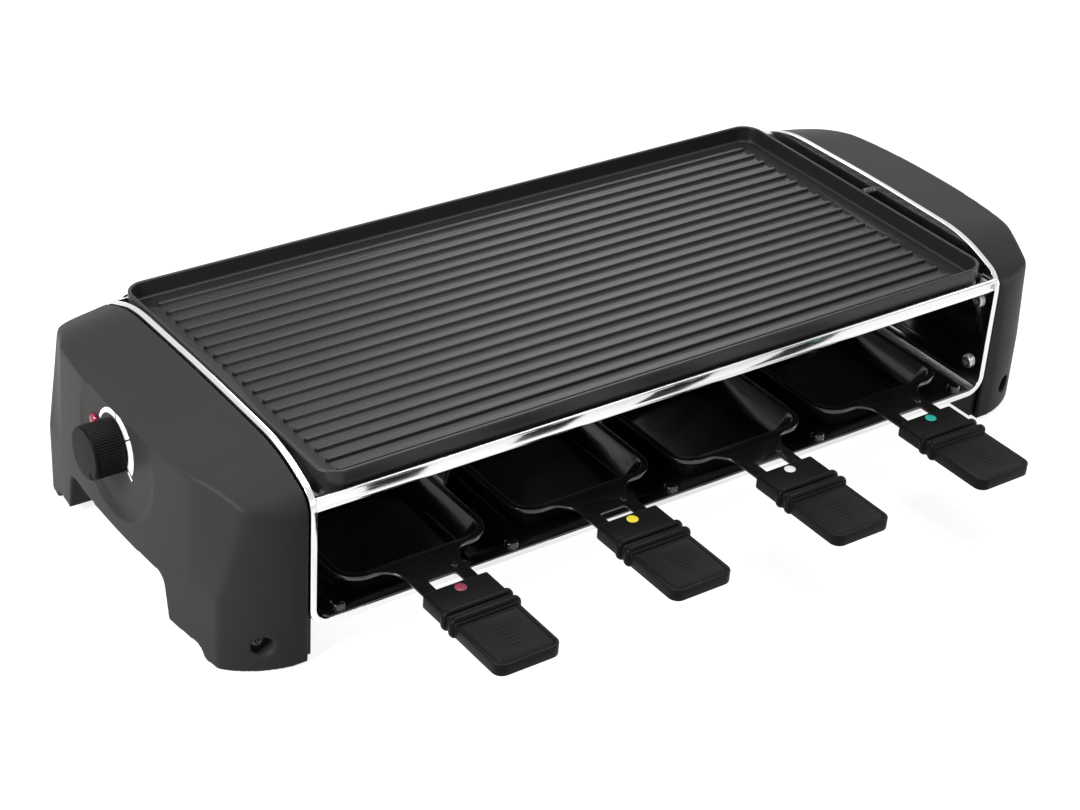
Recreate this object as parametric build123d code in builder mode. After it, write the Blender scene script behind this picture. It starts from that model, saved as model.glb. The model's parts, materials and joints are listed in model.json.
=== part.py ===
from build123d import *
import math
import os

os.makedirs("parts", exist_ok=True)

# Raclette grill for a table: a ribbed plate over a heated cavity, with pans front and rear.
# X runs along the grill, the front is at -Y, Z is up and 0 is the table. Millimetres.
# The control end is at -X. The plate's middle stands off X = 0, so that 0 is the middle of all of it.

# Driving sizes of the whole grill
plate_length = 460.0
rim_height = 111.0
frame_depth = 233.6
plate_setback = 3.3
wall_clearance = 5.9
floor_height = 24.7
overrun = 40.0
hair = 0.05

# Steel frame: sheet, rolled hem and the outline of its side walls
wall_sheet = 1.0
hem = 3.6
frame_bend = 8.2
nose_drop = 8.8
nose_radius = 15.0
shoulder_setback = 33.8
shoulder_rise = 5.2
shoulder_radius = 90.0
wall_rise = 6.9
arch_radius = 1800.0

# Rails under the plate's long edges
rail_bottom_drop = 18.3
rail_height = 8.6
rail_gap = 1.0
rail_sheet = 1.0
rail_flange = 12.0
rail_lip = 1.4
rail_lip_proud = 0.4

# Plate
plate_wall = 2.2
plate_corner = 13.0
plate_draft = 2.0
plate_well = 10.5
plate_floor = 3.0
plate_skirt = 15.6
plate_rim_round = 0.9
plate_floor_round = 1.4
rib_height = 2.1
rib_width = 3.8
rib_draft = 14.0
rib_round = 0.6
rib_count = 19
rib_row_margin = 14.95
rib_margin = 15.8
plate_foot_radius = 3.0
plate_foot_setback = 6.6
plate_foot_spacing = 165.0

# Shelf tray on the frame's floor
shelf_sheet = 1.0
shelf_end_margin = 4.3
shelf_end_rise = 2.6
shelf_gap = 0.3
bump_radius = 4.0
bump_height = 3.4
bump_round = 1.3
bump_setback = 5.3

# Pans
pan_row_count = 4
pan_end_margin = 10.0
pan_side_gap = 15.0
pan_middle_gap = 16.8
pan_corner = 16.0
pan_height = 17.3
pan_sheet = 1.2
pan_lip = 3.0
pan_bead = 2.2
pan_bead_drop = 0.9
pan_edge_round = 0.5
pan_wall_run = 9.0
pan_floor_corner = 11.0
pan_floor_round = 2.4
pan_inner_round = 1.6
pan_setback = 0.4
tang_width = 35.0
tang_root_gap = 1.0
tang_length = 61.6
tang_slot_width = 17.5
tang_slot_length = 10.6
tang_slot_place = 24.9
tang_slot_round = 2.0
tang_pip_radius = 1.7
tang_pip_height = 0.8
tang_pip_aside = 11.5
tang_pip_place = 14.5
pan_push = 5.0
front_pan_place_shares = (-1.564, -0.521, 0.454, 1.439)
rear_pan_place_shares = (-1.5, -0.5, 0.5, 1.5)
front_pan_push_shares = (0.0, 1.0, 0.0, 0.1)
rear_pan_push_shares = (1.7, 0.6, 0.0, 0.3)

# Pan handles
handle_place = 31.8
handle_width = 40.0
handle_block = 19.0
handle_above = 4.0
handle_below = 4.0
handle_round = 1.3
handle_end_round = 0.8
collar_width = 45.0
collar_rib = 4.3
collar_gap = 3.4
collar_rise = 2.6
collar_below = 1.6
collar_corner = 3.0
collar_arch = 128.0
collar_round = 0.9
paddle_width = 39.0
paddle_length = 39.0
paddle_drop = 2.0
paddle_thickness = 6.8
paddle_corner = 6.5
paddle_round = 1.6
paddle_border = 2.8
paddle_dish = 0.8
grip_line_count = 5
grip_line_length = 17.0
grip_line_width = 1.0
grip_line_rise = 0.45
grip_line_pitch = 2.7
tang_play = 0.1
dot_radius = 3.3
dot_thickness = 0.8
dot_sink = 0.5
dot_place = 5.6
dot_play = 0.3
dot_round = 0.2

# End housings
hem_gap = 0.8
hem_proud = 0.5
shell_wall = 2.5
end_reach = 62.5
crease_setback = 1.5
cap_slope = 0.16
crease_drop = 1.5
panel_foot_height = 43.5
front_arc_start = 9.6
low_reach_shares = (0.544, 0.864, 0.9184)
low_setbacks = (4.6, 18.3, 41.4)
low_corner_radius = 8.0
top_reach_shares = (0.432, 0.648, 0.8832)
top_setbacks = (3.0, 8.6, 41.4)
top_corner_radius = 9.0

# Legs and the arch between them, seen from the end
foot_proud = 1.0
toe_length = 29.8
toe_slope_run = 5.0
leg_step = 6.5
front_leg_length = 61.4
rear_leg_length = 52.2
leg_taper = 5.0
arch_height = 34.0
arch_round = 8.0
leg_edge_round = 2.6
foot_pad_radius = 7.0
foot_pad_thickness = 2.2
foot_pad_inset = 31.5
foot_pad_setback = 16.0
foot_pad_play = 0.3

# Inner covers between the frame's walls and the housings
cover_inset = 4.2
cover_foot = 1.2
tab_side = 7.7
tab_depth = 9.0
tab_height = 13.0

# Screws
screw_radius = 1.75
screw_play = 0.05
screw_hole_play = 0.35
wall_screw_length = 15.0
wall_screw_setback = 11.3
wall_screw_drop = 29.3
wall_screw_rise = 13.9
screw_head_radius = 4.3
screw_head_height = 2.2
screw_head_round = 1.4
recess_width = 0.9
recess_depth = 1.1
recess_length = 4.6
boss_radius = 4.6
leg_screw_inset = 28.2
leg_screw_height = 16.7
leg_hole_radius = 5.6
leg_hole_setback = 13.4
leg_boss_radius = 7.6
leg_boss_floor = 3.0
leg_screw_length = 11.5

# Heating element and what carries it
element_radius = 3.3
element_drop = 22.5
element_row_setback = 38.5
element_turn_count = 3
element_end_gap = 34.0
element_stub = 6.0
element_pin_radius = 1.8
element_pin_length = 11.0
bush_radius = 7.0
bush_flange_radius = 9.0
bush_flange = 2.0
bush_stand_out = 3.0
bush_play = 0.3
bar_width = 12.0
bar_sheet = 1.0
bar_spacing = 96.0
bar_foot = 8.0
bar_rise_margin = 2.0
stud_radius = 2.2
stud_tip_gap = 0.5
stud_drop = 1.6
stud_round = 0.8

# Controls in the housing at -X
knob_drop = 24.5
knob_radius = 15.0
knob_length = 17.8
knob_gap = 0.9
knob_round = 1.2
knob_plain_base = 1.4
knob_plain_face = 2.4
knob_groove = 0.5
knob_groove_count = 60
knob_wall = 2.2
knob_cavity_depth = 11.0
knob_hub_radius = 5.2
knob_hub_setback = 0.6
knob_bore_depth = 13.0
knob_pointer_width = 2.2
knob_pointer_length = 4.6
knob_pointer_depth = 1.0
knob_pointer_angle = -52.0
spindle_radius = 3.0
spindle_flat = 0.8
spindle_hole_play = 0.35
spindle_back = 4.0
dial_setback = 3.0
dial_facet_radius = 42.0
dial_facet_drop = 1.5
dial_backing = 3.0
dial_backing_radius = 44.0
dial_radius = 20.5
dial_inner_radius = 16.4
dial_shift = 2.4
dial_thickness = 0.4
dial_start_angle = 158.0
dial_end_angle = -29.0
dial_tick_angles = (36.0, 86.0)
dial_tick = 0.8
dial_bar_angle = -36.0
dial_bar_width = 1.4
dial_bar_start = 16.6
dial_bar_length = 5.6
lens_offset = 24.6
lens_rise = 2.2
lens_radius = 3.6
lens_dome = 2.4
lens_stem_radius = 2.6
lens_length = 6.0
lamp_radius = 3.6
lamp_length = 12.0
thermostat_width = 26.0
thermostat_height = 30.0
thermostat_depth = 17.0
thermostat_corner = 2.0
thermostat_bush_radius = 4.8
thermostat_bush_length = 3.2
bracket_sheet = 1.2
bracket_width = 20.0
bracket_foot = 9.0
bracket_gap = 0.5
terminal_length = 32.0
terminal_height = 14.0
terminal_depth = 12.0
terminal_setback = 54.8
terminal_drop = 24.5
terminal_round = 1.0
terminal_hole_radius = 1.9
terminal_pitch = 10.0
terminal_count = 3
terminal_hole_depth = 4.0
fuse_radius = 2.2
fuse_length = 14.0
fuse_setback = 68.8
fuse_drop = 24.5
fuse_clip = 5.0
fuse_clip_sheet = 1.6
wire_radius = 1.1
wire_bend = 4.0
wire_inset = 17.5
wire_step = 5.0
inlet_reach = 22.0
inlet_level = 54.0
inlet_facet = 4.0
inlet_facet_radius = 9.2
inlet_radius = 6.0
inlet_flange_radius = 8.6
inlet_flange = 2.4
inlet_bore = 3.6
inlet_length = 12.0
inlet_play = 0.3
inlet_backing = 3.0

# Sizes that follow from the ones above
half_length = plate_length / 2
half_depth = frame_depth / 2
plate_depth = frame_depth - 2 * plate_setback
wall_inner = half_length + wall_clearance
wall_outer = wall_inner + wall_sheet
shell_start = wall_inner + hem + hem_gap
dial_reach = end_reach - dial_setback
knob_base = half_length + dial_reach + knob_gap
grill_x = (knob_base + knob_length - half_length - end_reach) / 2
crease_reach = end_reach - crease_setback
crease_height = rim_height - crease_drop
knob_height = rim_height - knob_drop
dial_facet_top = crease_height - dial_facet_drop
shelf_top = floor_height + shelf_sheet
rib_pitch = (plate_depth - 2 * rib_row_margin) / (rib_count - 1)
rail_bottom = rim_height - rail_bottom_drop
rail_face = plate_depth / 2 + rail_gap + rail_sheet
rail_inner_edge = rail_face - rail_flange
pan_pitch = (plate_length - 2 * pan_end_margin) / pan_row_count
pan_width = pan_pitch - pan_side_gap
pan_depth = half_depth - pan_middle_gap
pan_floor_width = pan_width - 2 * pan_wall_run
pan_floor_depth = pan_depth - 2 * pan_wall_run
tang_root_radius = (pan_width - tang_width) / 2 - pan_corner - tang_root_gap
pan_top = pan_height - pan_sheet
wall_screw_row = half_depth - wall_screw_setback
wall_screw_heights = (rim_height - wall_screw_drop, floor_height + wall_screw_rise)
leg_hole_floor = half_depth - leg_hole_setback
leg_boss_end = leg_hole_floor - leg_boss_floor
leg_screw_reach = end_reach - leg_screw_inset
leg_screw_x = half_length + leg_screw_reach
tab_reach = leg_screw_reach + tab_side
foot_pad_reach = end_reach - foot_pad_inset
element_height = rim_height - element_drop
element_row = plate_depth / 2 - element_row_setback
element_turn_radius = element_row / element_turn_count
terminal_place = half_depth - terminal_setback
terminal_level = knob_height - terminal_drop
fuse_place = fuse_setback - half_depth
fuse_level = knob_height - fuse_drop
low = -overrun


def level(z):
    # Horizontal plane at height z, centred on the plate
    return Plane(origin=(grill_x, 0, z))


def across(x):
    # Upright plane that faces +X, x from the plate's middle; its own X is Y and its own Y is Z
    return Plane.YZ.offset(grill_x + x)


def facing(y):
    # Upright plane that faces +Y at depth y; its own X is -X and its own Y is Z
    return Plane(origin=(grill_x, y, 0), x_dir=(-1, 0, 0), z_dir=(0, 1, 0))


def control(reach):
    # Plane at the control end that faces outwards, seen from outside, centred on the knob's axis
    return Plane(origin=(grill_x - half_length - reach, 0, knob_height), x_dir=(0, -1, 0), z_dir=(-1, 0, 0))


def side_face(shrink):
    # Outline of the side wall above the floor, closed well below it, drawn in Y and Z
    edge = half_depth - shrink
    nose = rim_height - nose_drop - shrink / 2
    shoulder = rim_height + shoulder_rise - shrink
    top = rim_height + wall_rise - shrink
    with BuildSketch() as face:
        with BuildLine():
            FilletPolyline(
                (-edge, low),
                (-edge, nose),
                (shoulder_setback - half_depth, shoulder),
                (0, top),
                (half_depth - shoulder_setback, shoulder),
                (edge, nose),
                (edge, low),
                radius=[nose_radius - shrink, shoulder_radius, arch_radius, shoulder_radius,
                        nose_radius - shrink],
            )
            Line((edge, low), (-edge, low))
        make_face()
    return face.sketch_local


def foot_face(shrink):
    # What lies above the legs and the arch between them, drawn in Y and Z
    edge = half_depth + overrun
    toe = foot_proud + shrink
    step = foot_proud + leg_step + shrink
    crown = arch_height + shrink
    toe_front = toe_length - half_depth - shrink
    front_leg = front_leg_length - half_depth - shrink
    rear_leg = half_depth - rear_leg_length + shrink
    toe_rear = half_depth - toe_length + shrink
    small = leg_edge_round
    with BuildSketch() as face:
        with BuildLine():
            FilletPolyline(
                (-edge, toe),
                (toe_front, toe),
                (toe_front + toe_slope_run, step),
                (front_leg, step),
                (front_leg + leg_taper, crown),
                (rear_leg - leg_taper, crown),
                (rear_leg, step),
                (toe_rear - toe_slope_run, step),
                (toe_rear, toe),
                (edge, toe),
                radius=[small, small, small, arch_round, arch_round, small, small, small],
            )
            Polyline((edge, toe), (edge, rim_height + overrun), (-edge, rim_height + overrun), (-edge, toe))
        make_face()
    return face.sketch_local


def plan_face(middle, reach_shares, setbacks, radius, shrink):
    # Plan outline of a housing from the side wall outwards: its arc's middle, its corner and its side
    start = half_length - wall_clearance
    edge = half_depth
    arc, corner, side = [(share * end_reach, setback) for share, setback in zip(reach_shares, setbacks)]
    with BuildSketch() as face:
        with BuildLine():
            Polyline((start + front_arc_start, edge), (start, edge), (start, -edge),
                     (start + front_arc_start, -edge))
            for way in (-1, 1):
                ThreePointArc(
                    (start + front_arc_start, way * edge),
                    (half_length + arc[0], way * (edge - arc[1])),
                    (half_length + corner[0], way * (edge - corner[1])),
                )
                Line(
                    (half_length + corner[0], way * (edge - corner[1])),
                    (half_length + side[0], way * (edge - side[1])),
                )
            ThreePointArc(
                (half_length + side[0], side[1] - edge),
                (half_length + middle, 0),
                (half_length + side[0], edge - side[1]),
            )
        make_face()
        bends = face.vertices().filter_by(lambda v: v.X > half_length + corner[0] - hair)
        fillet(bends, radius)
        if shrink > 0:
            offset(amount=-shrink, mode=Mode.REPLACE)
    return face.sketch_local


def housing_block(shrink):
    # The housing at +X as one solid, each wall moved in by shrink
    low_plan = plan_face(end_reach, low_reach_shares, low_setbacks, low_corner_radius, shrink)
    top_plan = plan_face(crease_reach, top_reach_shares, top_setbacks, top_corner_radius, shrink)
    with BuildPart() as block:
        with BuildSketch(level(low)):
            add(low_plan)
        extrude(amount=panel_foot_height - low)
        with BuildSketch(level(panel_foot_height)):
            add(low_plan)
        with BuildSketch(level(crease_height)):
            add(top_plan)
        loft(ruled=True)
        with BuildSketch(level(crease_height)):
            add(top_plan)
        extrude(amount=overrun)
        with BuildSketch(across(wall_inner)):
            add(side_face(hem_proud + shrink))
        extrude(amount=end_reach + overrun, dir=(1, 0, -cap_slope), mode=Mode.INTERSECT)
        with BuildSketch(across(half_length)):
            add(foot_face(shrink))
        extrude(amount=end_reach + overrun, both=True, mode=Mode.INTERSECT)
    return block.part


def screw(length):
    # Pan-head screw along +Z, its head's underside at 0 and its shank below, with a cross recess
    with BuildPart() as made:
        Cylinder(screw_head_radius, screw_head_height, align=(Align.CENTER, Align.CENTER, Align.MIN))
        fillet(made.edges().group_by(Axis.Z)[-1], screw_head_round)
        Cylinder(screw_radius, length, align=(Align.CENTER, Align.CENTER, Align.MAX))
        with Locations((0, 0, screw_head_height)):
            Box(recess_length, recess_width, recess_depth,
                align=(Align.CENTER, Align.CENTER, Align.MAX), mode=Mode.SUBTRACT)
            Box(recess_width, recess_length, recess_depth,
                align=(Align.CENTER, Align.CENTER, Align.MAX), mode=Mode.SUBTRACT)
    return made.part


# Places of the screws in one side wall, as Y and Z
wall_screw_places = [(way * wall_screw_row, z) for way in (-1, 1) for z in wall_screw_heights]


def bent_sheet(thickness, band):
    # The frame's U in one thickness, cut to the side outline; a band keeps only its rim
    with BuildPart() as made:
        with BuildSketch(facing(-half_depth)):
            with BuildLine():
                FilletPolyline(
                    (-wall_inner - thickness, rim_height + overrun),
                    (-wall_inner - thickness, floor_height - thickness),
                    (wall_inner + thickness, floor_height - thickness),
                    (wall_inner + thickness, rim_height + overrun),
                    radius=frame_bend + thickness,
                )
                Line((wall_inner + thickness, rim_height + overrun), (wall_inner, rim_height + overrun))
                FilletPolyline(
                    (wall_inner, rim_height + overrun),
                    (wall_inner, floor_height),
                    (-wall_inner, floor_height),
                    (-wall_inner, rim_height + overrun),
                    radius=frame_bend,
                )
                Line((-wall_inner, rim_height + overrun), (-wall_inner - thickness, rim_height + overrun))
            make_face()
        extrude(amount=frame_depth)
        with BuildSketch(across(0)):
            add(side_face(0))
            if band:
                offset(side_face(0), amount=-hem, mode=Mode.SUBTRACT)
        extrude(amount=wall_inner + overrun, both=True, mode=Mode.INTERSECT)
    return made.part


# Frame: a sheet bent into a floor and two walls, with a rolled hem round its edges
thin_sheet = bent_sheet(wall_sheet, False)
rolled_hem = bent_sheet(hem, True)
with BuildPart() as steel_frame:
    add(thin_sheet)
    add(rolled_hem)
    with BuildSketch(across(0)):
        with Locations(*wall_screw_places):
            Circle(screw_radius + screw_hole_play)
    extrude(amount=wall_inner + overrun, both=True, mode=Mode.SUBTRACT)
    with BuildSketch(across(0)):
        with Locations((-element_row, element_height), (element_row, element_height)):
            Circle(bush_radius + bush_play)
    extrude(amount=-wall_inner - overrun, mode=Mode.SUBTRACT)
steel_frame.part.label = "steel_frame"
export_step(steel_frame.part, "parts/steel_frame.step")


def rail_part(way):
    # Channel under one long edge of the plate: a lipped face, a flange inwards and a tab at each end
    with BuildPart() as made:
        with BuildSketch(across(-wall_inner)):
            with BuildLine():
                Polyline(
                    (way * (rail_face + rail_lip_proud), rail_bottom),
                    (way * (rail_face + rail_lip_proud), rail_bottom + rail_lip),
                    (way * rail_face, rail_bottom + rail_lip + rail_lip_proud),
                    (way * rail_face, rail_bottom + rail_height - rail_lip - rail_lip_proud),
                    (way * (rail_face + rail_lip_proud), rail_bottom + rail_height - rail_lip),
                    (way * (rail_face + rail_lip_proud), rail_bottom + rail_height),
                    (way * (rail_face - rail_sheet), rail_bottom + rail_height),
                    (way * (rail_face - rail_sheet), rail_bottom + rail_sheet),
                    (way * rail_inner_edge, rail_bottom + rail_sheet),
                    (way * rail_inner_edge, rail_bottom),
                    close=True,
                )
            make_face()
        extrude(amount=2 * wall_inner)
        for end in (-1, 1):
            with BuildSketch(across(end * wall_inner)):
                with BuildLine():
                    Polyline(
                        (way * (rail_face - rail_sheet), rail_bottom + rail_sheet),
                        (way * (rail_face - rail_sheet), rail_bottom + rail_height - rail_lip),
                        (way * (rail_inner_edge + rail_lip), rail_bottom + rail_height - rail_lip),
                        (way * (rail_inner_edge + rail_lip), rail_bottom + rail_sheet),
                        close=True,
                    )
                make_face()
            extrude(amount=-end * rail_sheet, dir=(1, 0, 0))
    return made.part


with BuildPart() as front_rail:
    add(rail_part(-1))
front_rail.part.label = "front_rail"
export_step(front_rail.part, "parts/front_rail.step")

with BuildPart() as rear_rail:
    add(rail_part(1))
rear_rail.part.label = "rear_rail"
export_step(rear_rail.part, "parts/rear_rail.step")

# Cast plate: a shallow well with ribs along it, a thin skirt below and feet on the rails' flanges
with BuildPart() as grill_plate:
    with BuildSketch(level(rim_height)):
        RectangleRounded(plate_length, plate_depth, plate_corner)
    extrude(amount=-plate_skirt, taper=plate_draft)
    with BuildSketch(level(rim_height)):
        RectangleRounded(plate_length - 2 * plate_wall, plate_depth - 2 * plate_wall,
                         plate_corner - plate_wall)
    extrude(amount=-plate_well, taper=plate_draft, mode=Mode.SUBTRACT)
    well_edges = grill_plate.edges().filter_by(lambda e: abs(e.center().Z - rim_height + plate_well) < hair)
    fillet(well_edges, plate_floor_round)
    rim_edges = grill_plate.edges().filter_by(lambda e: abs(e.center().Z - rim_height) < hair)
    fillet(rim_edges, plate_rim_round)
    with BuildSketch(level(rim_height - plate_skirt)):
        RectangleRounded(plate_length - 4 * plate_wall, plate_depth - 4 * plate_wall,
                         plate_corner - 2 * plate_wall)
    extrude(amount=plate_skirt - plate_well - plate_floor, mode=Mode.SUBTRACT)
    with BuildSketch(level(rim_height - plate_well - hair)):
        with GridLocations(0, rib_pitch, 1, rib_count):
            SlotOverall(plate_length - 2 * rib_margin, rib_width)
    extrude(amount=rib_height + hair, taper=rib_draft)
    rib_tops = grill_plate.edges().filter_by(
        lambda e: abs(e.center().Z - rim_height + plate_well - rib_height) < hair)
    fillet(rib_tops, rib_round)
    with BuildSketch(level(rail_bottom + rail_sheet)):
        with GridLocations(plate_foot_spacing, plate_depth - 2 * plate_foot_setback, 3, 2):
            Circle(plate_foot_radius)
    extrude(amount=rim_height - plate_well - plate_floor / 2 - rail_bottom - rail_sheet)
grill_plate.part.label = "grill_plate"
export_step(grill_plate.part, "parts/grill_plate.step")

# Glossy tray on the floor, its ends turned up, with hollow bumps that stand between the pans
with BuildPart() as shelf_tray:
    flat = wall_inner - frame_bend - hair
    tip = wall_inner - shelf_end_margin
    with BuildSketch(facing(shelf_gap - half_depth)):
        with BuildLine():
            Polyline(
                (-tip, floor_height + shelf_end_rise + shelf_sheet),
                (-flat, shelf_top),
                (flat, shelf_top),
                (tip, floor_height + shelf_end_rise + shelf_sheet),
                (tip + shelf_sheet / 2, floor_height + shelf_end_rise),
                (flat, floor_height),
                (-flat, floor_height),
                (-tip - shelf_sheet / 2, floor_height + shelf_end_rise),
                close=True,
            )
        make_face()
    extrude(amount=frame_depth - 2 * shelf_gap)
    with BuildSketch(level(floor_height)):
        with GridLocations(pan_pitch, frame_depth - 2 * bump_setback, pan_row_count + 1, 2):
            Circle(bump_radius)
    extrude(amount=bump_height + shelf_sheet)
    fillet(shelf_tray.edges().filter_by(
        lambda e: abs(e.center().Z - shelf_top - bump_height) < hair), bump_round)
    with BuildSketch(level(floor_height)):
        with GridLocations(pan_pitch, frame_depth - 2 * bump_setback, pan_row_count + 1, 2):
            Circle(bump_radius - shelf_sheet)
    extrude(amount=bump_height, taper=rib_draft, mode=Mode.SUBTRACT)
shelf_tray.part.label = "shelf_tray"
export_step(shelf_tray.part, "parts/shelf_tray.step")

# Pan: a pressed dish with a curled rim and a tang, drawn with its rim's middle at 0 and its floor at 0
rim_front = -pan_depth / 2
mouth_width = pan_width - 2 * pan_lip
mouth_depth = pan_depth - 2 * pan_lip
with BuildPart() as pan_hollow:
    with BuildSketch(Plane.XY.offset(pan_sheet)):
        RectangleRounded(pan_floor_width - 2 * pan_sheet, pan_floor_depth - 2 * pan_sheet,
                         pan_floor_corner - pan_sheet)
    with BuildSketch(Plane.XY.offset(pan_height + pan_sheet)):
        RectangleRounded(mouth_width - pan_sheet, mouth_depth - pan_sheet, pan_corner - pan_lip - pan_sheet)
    loft(ruled=True)
    fillet(pan_hollow.edges().group_by(Axis.Z)[0], pan_inner_round)

with BuildPart() as pan_dish:
    with BuildSketch(Plane.XY):
        RectangleRounded(pan_floor_width, pan_floor_depth, pan_floor_corner)
    with BuildSketch(Plane.XY.offset(pan_top)):
        RectangleRounded(mouth_width, mouth_depth, pan_corner - pan_lip)
    loft(ruled=True)
    fillet(pan_dish.edges().group_by(Axis.Z)[0], pan_floor_round)
    with BuildSketch(Plane.XY.offset(pan_top)) as rim_and_tang:
        RectangleRounded(pan_width, pan_depth, pan_corner)
        with Locations((0, rim_front + pan_corner)):
            Rectangle(tang_width, tang_length + pan_corner, align=(Align.CENTER, Align.MAX))
        roots = rim_and_tang.vertices().filter_by(
            lambda v: abs(v.Y - rim_front) < hair and abs(v.X) < tang_width / 2 + hair)
        fillet(roots, tang_root_radius)
    extrude(amount=pan_sheet)
    with BuildSketch(Plane.XY.offset(pan_top)):
        RectangleRounded(pan_width, pan_depth, pan_corner)
        offset(amount=-pan_bead, mode=Mode.SUBTRACT)
    extrude(amount=-pan_bead_drop)
    fillet(pan_dish.edges().group_by(Axis.Z)[-1], pan_edge_round)
    add(pan_hollow.part, mode=Mode.SUBTRACT)
    with BuildSketch(Plane.XY.offset(pan_height)):
        with Locations((0, rim_front - tang_slot_place)):
            RectangleRounded(tang_slot_width, tang_slot_length, tang_slot_round)
    extrude(amount=-pan_sheet, mode=Mode.SUBTRACT)
    with BuildSketch(Plane.XY.offset(pan_height)):
        with Locations((tang_pip_aside, rim_front - tang_pip_place)):
            Circle(tang_pip_radius)
    extrude(amount=tang_pip_height, taper=rib_draft)

# Handle: a block moulded round the tang, two arched collar ribs and a dished paddle
with BuildPart() as handle_block_part:
    core_height = pan_sheet + handle_above + handle_below
    core_middle = pan_top - handle_below + core_height / 2
    with BuildSketch(Plane.XZ.offset(-rim_front + handle_place)):
        with Locations((0, core_middle)):
            RectangleRounded(handle_width, core_height, handle_round)
    extrude(amount=handle_block + collar_rib + collar_gap + hair)
    fillet(handle_block_part.edges().group_by(Axis.Y)[-1], handle_end_round)

with BuildPart() as collar_rib_part:
    rib_top = pan_height + handle_above + collar_rise
    rib_bottom = pan_top - handle_below - collar_below
    with BuildSketch(Plane.XZ.offset(-rim_front + handle_place + handle_block)):
        with Locations((0, (rib_top + rib_bottom) / 2)):
            RectangleRounded(collar_width, rib_top - rib_bottom, collar_corner)
        with Locations((0, rib_top - collar_arch)):
            Circle(collar_arch, mode=Mode.INTERSECT)
    extrude(amount=collar_rib)
    fillet(collar_rib_part.edges().group_by(Axis.Y)[-1] + collar_rib_part.edges().group_by(Axis.Y)[0],
           collar_round)

with BuildPart() as paddle_part:
    paddle_top = pan_height + handle_above - paddle_drop
    paddle_start = rim_front - handle_place - handle_block - 2 * collar_rib - collar_gap
    paddle_end = paddle_start - paddle_length
    with BuildSketch(Plane.XY.offset(paddle_top - paddle_thickness)):
        with Locations((0, paddle_end)):
            RectangleRounded(paddle_width, paddle_length + paddle_corner, paddle_corner,
                             align=(Align.CENTER, Align.MIN))
    extrude(amount=paddle_thickness)
    fillet(paddle_part.edges().group_by(Axis.Z)[-1] + paddle_part.edges().group_by(Axis.Z)[0], paddle_round)
    dish_length = paddle_length - 2 * paddle_border
    with BuildSketch(Plane.XY.offset(paddle_top)):
        with Locations((0, paddle_end + paddle_border)):
            RectangleRounded(paddle_width - 2 * paddle_border, dish_length, paddle_corner - paddle_border,
                             align=(Align.CENTER, Align.MIN))
    extrude(amount=-paddle_dish, mode=Mode.SUBTRACT)
    with BuildSketch(Plane.XY.offset(paddle_top - paddle_dish)):
        with Locations((0, paddle_end + paddle_border + dish_length / 2)):
            with GridLocations(0, grip_line_pitch, 1, grip_line_count):
                SlotOverall(grip_line_length, grip_line_width)
    extrude(amount=grip_line_rise)

with BuildPart() as pan_grip:
    add(handle_block_part.part)
    add(collar_rib_part.part)
    with Locations((0, -collar_rib - collar_gap, 0)):
        add(collar_rib_part.part)
    add(paddle_part.part)
    with BuildSketch(Plane.XY.offset(pan_top)):
        with Locations((0, rim_front - handle_place + hair)):
            Rectangle(tang_width + 2 * tang_play, tang_length - handle_place + tang_play + hair,
                      align=(Align.CENTER, Align.MAX))
    extrude(amount=pan_sheet, mode=Mode.SUBTRACT)
    with BuildSketch(Plane.XY.offset(pan_height + handle_above)):
        with Locations((0, rim_front - handle_place - dot_place)):
            Circle(dot_radius + dot_play)
    extrude(amount=-dot_sink, mode=Mode.SUBTRACT)

with BuildPart() as pan_dot:
    with BuildSketch(Plane.XY.offset(pan_height + handle_above - dot_sink)):
        with Locations((0, rim_front - handle_place - dot_place)):
            Circle(dot_radius)
    extrude(amount=dot_thickness)
    fillet(pan_dot.edges().group_by(Axis.Z)[-1], dot_round)

# Four pans in front and four behind, each with its handle and its colour dot
pan_row = half_depth - pan_setback - pan_depth / 2
for side, way, places, pushes in (
    ("front", -1, front_pan_place_shares, front_pan_push_shares),
    ("rear", 1, rear_pan_place_shares, rear_pan_push_shares),
):
    for number, (place, push) in enumerate(zip(places, pushes), start=1):
        spot = Location(
            (grill_x + place * pan_pitch, way * (pan_row - push * pan_push), shelf_top),
            (0, 0, 90 + way * 90),
        )
        with BuildPart() as pan:
            with Locations(spot):
                add(pan_dish.part)
        pan.part.label = f"{side}_pan_{number}"
        export_step(pan.part, f"parts/{side}_pan_{number}.step")
        with BuildPart() as handle:
            with Locations(spot):
                add(pan_grip.part)
        handle.part.label = f"{side}_handle_{number}"
        export_step(handle.part, f"parts/{side}_handle_{number}.step")
        with BuildPart() as dot:
            with Locations(spot):
                add(pan_dot.part)
        dot.part.label = f"{side}_dot_{number}"
        export_step(dot.part, f"parts/{side}_dot_{number}.step")

# Housing at +X as a shell, with posts for the wall screws and bosses in the legs
outer = housing_block(0)
inner = housing_block(shell_wall)

with BuildPart() as posts:
    with BuildSketch(across(wall_inner)):
        with Locations(*wall_screw_places):
            Circle(boss_radius)
    extrude(amount=end_reach + overrun)
    for way in (-1, 1):
        with BuildSketch(facing(way * leg_boss_end)):
            with Locations((-leg_screw_x, leg_screw_height)):
                Circle(leg_boss_radius)
        extrude(amount=way * overrun)
    add(outer, mode=Mode.INTERSECT)

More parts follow.
